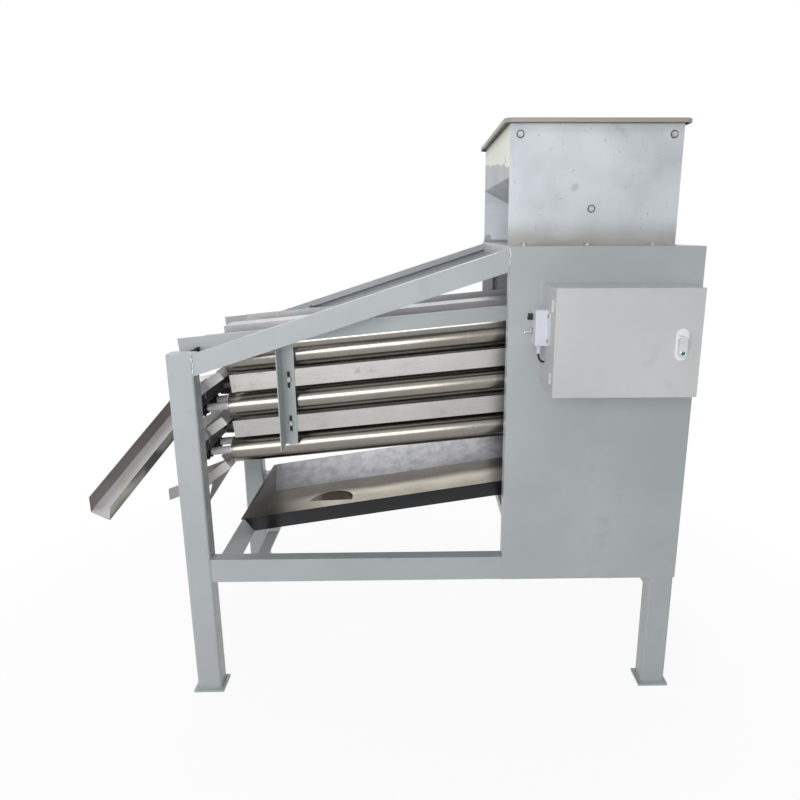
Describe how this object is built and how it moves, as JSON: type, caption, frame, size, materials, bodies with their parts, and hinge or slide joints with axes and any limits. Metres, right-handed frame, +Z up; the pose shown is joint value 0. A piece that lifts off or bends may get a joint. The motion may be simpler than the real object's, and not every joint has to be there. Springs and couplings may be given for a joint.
{
  "type": "cashew nut grading machine",
  "caption": "Floor-standing nut grader: inclined geared roller layers in a tube frame, sheet housing with feed hopper, collecting tray, chutes and control box.",
  "frame": {"origin": "centre of the bounding box, on the floor", "axes": "+X from the discharge end towards the housing, +Y from the control box side to the far side, +Z up"},
  "size_m": [1.89, 0.999, 1.838],
  "materials": {
    "frame_paint": "light blue-grey gloss paint",
    "hopper_sheet": "dull rolled sheet",
    "black_iron": "black paint",
    "roller_steel": "turned and brushed",
    "stainless": "rolled stainless sheet",
    "box_paint": "pale grey powder coat",
    "zinc": "zinc plated",
    "chrome": "polished",
    "black_plastic": "satin black",
    "lead_rubber": "matt black",
    "motor_iron": "painted casting",
    "drive_steel": "oiled steel"
  },
  "bodies": {
    "frame": {"near_left_leg": "frame_paint", "far_left_leg": "frame_paint", "near_right_leg": "frame_paint", "far_right_leg": "frame_paint", "foot_plates": "frame_paint", "near_lower_rail": "frame_paint", "far_lower_rail": "frame_paint", "near_sloped_rail": "frame_paint", "far_sloped_rail": "frame_paint", "housing_posts": "frame_paint", "right_cross_beam": "frame_paint", "housing_near_panel": "frame_paint", "housing_far_panel": "frame_paint", "housing_end_panel": "frame_paint", "housing_top_plate": "frame_paint", "housing_front_band": "frame_paint", "side_guards": "frame_paint", "guard_straps": "frame_paint", "tray_supports": "frame_paint", "hopper_near_plate": "hopper_sheet", "hopper_far_plate": "hopper_sheet", "hopper_left_slope": "hopper_sheet", "hopper_right_slope": "hopper_sheet", "hopper_rim": "hopper_sheet", "bearing_bars": "black_iron", "lower_bearing_blocks": "black_iron", "upper_bearing_blocks": "black_iron", "guard_linings": "stainless", "centre_ridges": "stainless", "skirt_plates": "stainless", "discharge_troughs": "stainless", "top_chute": "stainless", "middle_chute": "stainless", "bottom_chute": "stainless", "collecting_tray": "stainless", "control_box": "box_paint", "switch_box": "box_paint", "hinge_pins": "zinc", "hex_bolts": "zinc", "speed_inverter": "black_plastic", "switch_lead": "lead_rubber", "gear_motor": "motor_iron", "drive_chains": "drive_steel"},
    "top_roller_1": {"top_roller_1": "roller_steel"},
    "top_roller_2": {"top_roller_2": "roller_steel"},
    "top_roller_3": {"top_roller_3": "roller_steel"},
    "top_roller_4": {"top_roller_4": "roller_steel"},
    "middle_roller_1": {"middle_roller_1": "roller_steel"},
    "middle_roller_2": {"middle_roller_2": "roller_steel"},
    "middle_roller_3": {"middle_roller_3": "roller_steel"},
    "middle_roller_4": {"middle_roller_4": "roller_steel"},
    "bottom_roller_1": {"bottom_roller_1": "roller_steel"},
    "bottom_roller_2": {"bottom_roller_2": "roller_steel"},
    "bottom_roller_3": {"bottom_roller_3": "roller_steel"},
    "bottom_roller_4": {"bottom_roller_4": "roller_steel"},
    "drive_sprocket": {"drive_sprocket": "drive_steel"},
    "control_door": {"control_door": "box_paint"},
    "door_handle": {"door_handle": "chrome"},
    "speed_knob": {"speed_knob": "black_plastic"},
    "switch_lever": {"switch_lever": "chrome"}
  },
  "joints": [
    {"name": "top_roller_1_spin", "type": "hinge", "parent": "frame", "child": "top_roller_1", "pos_m": [0.363, -0.0995, 1.196], "axis": [0.9955, 0, 0.0943], "continuous": true},
    {"name": "top_roller_2_spin", "type": "hinge", "parent": "frame", "child": "top_roller_2", "pos_m": [0.363, 0.0045, 1.196], "axis": [0.9955, 0, 0.0943], "continuous": true},
    {"name": "top_roller_3_spin", "type": "hinge", "parent": "frame", "child": "top_roller_3", "pos_m": [0.363, 0.1935, 1.196], "axis": [0.9955, 0, 0.0943], "continuous": true},
    {"name": "top_roller_4_spin", "type": "hinge", "parent": "frame", "child": "top_roller_4", "pos_m": [0.363, 0.2975, 1.196], "axis": [0.9955, 0, 0.0943], "continuous": true},
    {"name": "middle_roller_1_spin", "type": "hinge", "parent": "frame", "child": "middle_roller_1", "pos_m": [0.363, -0.0995, 1.041], "axis": [0.9955, 0, 0.0943], "continuous": true},
    {"name": "middle_roller_2_spin", "type": "hinge", "parent": "frame", "child": "middle_roller_2", "pos_m": [0.363, 0.0045, 1.041], "axis": [0.9955, 0, 0.0943], "continuous": true},
    {"name": "middle_roller_3_spin", "type": "hinge", "parent": "frame", "child": "middle_roller_3", "pos_m": [0.363, 0.1935, 1.041], "axis": [0.9955, 0, 0.0943], "continuous": true},
    {"name": "middle_roller_4_spin", "type": "hinge", "parent": "frame", "child": "middle_roller_4", "pos_m": [0.363, 0.2975, 1.041], "axis": [0.9955, 0, 0.0943], "continuous": true},
    {"name": "bottom_roller_1_spin", "type": "hinge", "parent": "frame", "child": "bottom_roller_1", "pos_m": [0.363, -0.0995, 0.886], "axis": [0.9955, 0, 0.0943], "continuous": true},
    {"name": "bottom_roller_2_spin", "type": "hinge", "parent": "frame", "child": "bottom_roller_2", "pos_m": [0.363, 0.0045, 0.886], "axis": [0.9955, 0, 0.0943], "continuous": true},
    {"name": "bottom_roller_3_spin", "type": "hinge", "parent": "frame", "child": "bottom_roller_3", "pos_m": [0.363, 0.1935, 0.886], "axis": [0.9955, 0, 0.0943], "continuous": true},
    {"name": "bottom_roller_4_spin", "type": "hinge", "parent": "frame", "child": "bottom_roller_4", "pos_m": [0.363, 0.2975, 0.886], "axis": [0.9955, 0, 0.0943], "continuous": true},
    {"name": "drive_sprocket_spin", "type": "hinge", "parent": "frame", "child": "drive_sprocket", "pos_m": [0.363, -0.0995, 0.56], "axis": [0.9955, 0, 0.0943], "continuous": true},
    {"name": "control_door_hinge", "type": "hinge", "parent": "frame", "child": "control_door", "pos_m": [0.4592, -0.4612, 1.228], "axis": [0, 0, -1], "range_deg": [0, 105]},
    {"name": "door_handle_pivot", "type": "hinge", "parent": "control_door", "child": "door_handle", "pos_m": [0.8075, -0.4935, 1.2465], "axis": [-1, 0, 0], "range_deg": [0, 50]},
    {"name": "speed_knob_turn", "type": "hinge", "parent": "frame", "child": "speed_knob", "pos_m": [0.4285, -0.3315, 1.283], "axis": [-1, 0, 0], "range_deg": [0, 300]},
    {"name": "switch_lever_throw", "type": "hinge", "parent": "frame", "child": "switch_lever", "pos_m": [0.4285, -0.3315, 1.241], "axis": [0, 1, 0], "range_deg": [0, 24]}
  ],
  "couplings": [
    {"joint": "top_roller_2_spin", "follows": "top_roller_1_spin", "ratio": -1},
    {"joint": "top_roller_3_spin", "follows": "top_roller_1_spin", "ratio": 1},
    {"joint": "top_roller_4_spin", "follows": "top_roller_1_spin", "ratio": -1},
    {"joint": "middle_roller_1_spin", "follows": "top_roller_1_spin", "ratio": 1},
    {"joint": "middle_roller_2_spin", "follows": "top_roller_1_spin", "ratio": -1},
    {"joint": "middle_roller_3_spin", "follows": "top_roller_1_spin", "ratio": 1},
    {"joint": "middle_roller_4_spin", "follows": "top_roller_1_spin", "ratio": -1},
    {"joint": "bottom_roller_1_spin", "follows": "top_roller_1_spin", "ratio": 1},
    {"joint": "bottom_roller_2_spin", "follows": "top_roller_1_spin", "ratio": -1},
    {"joint": "bottom_roller_3_spin", "follows": "top_roller_1_spin", "ratio": 1},
    {"joint": "bottom_roller_4_spin", "follows": "top_roller_1_spin", "ratio": -1},
    {"joint": "drive_sprocket_spin", "follows": "top_roller_1_spin", "ratio": 1}
  ]
}
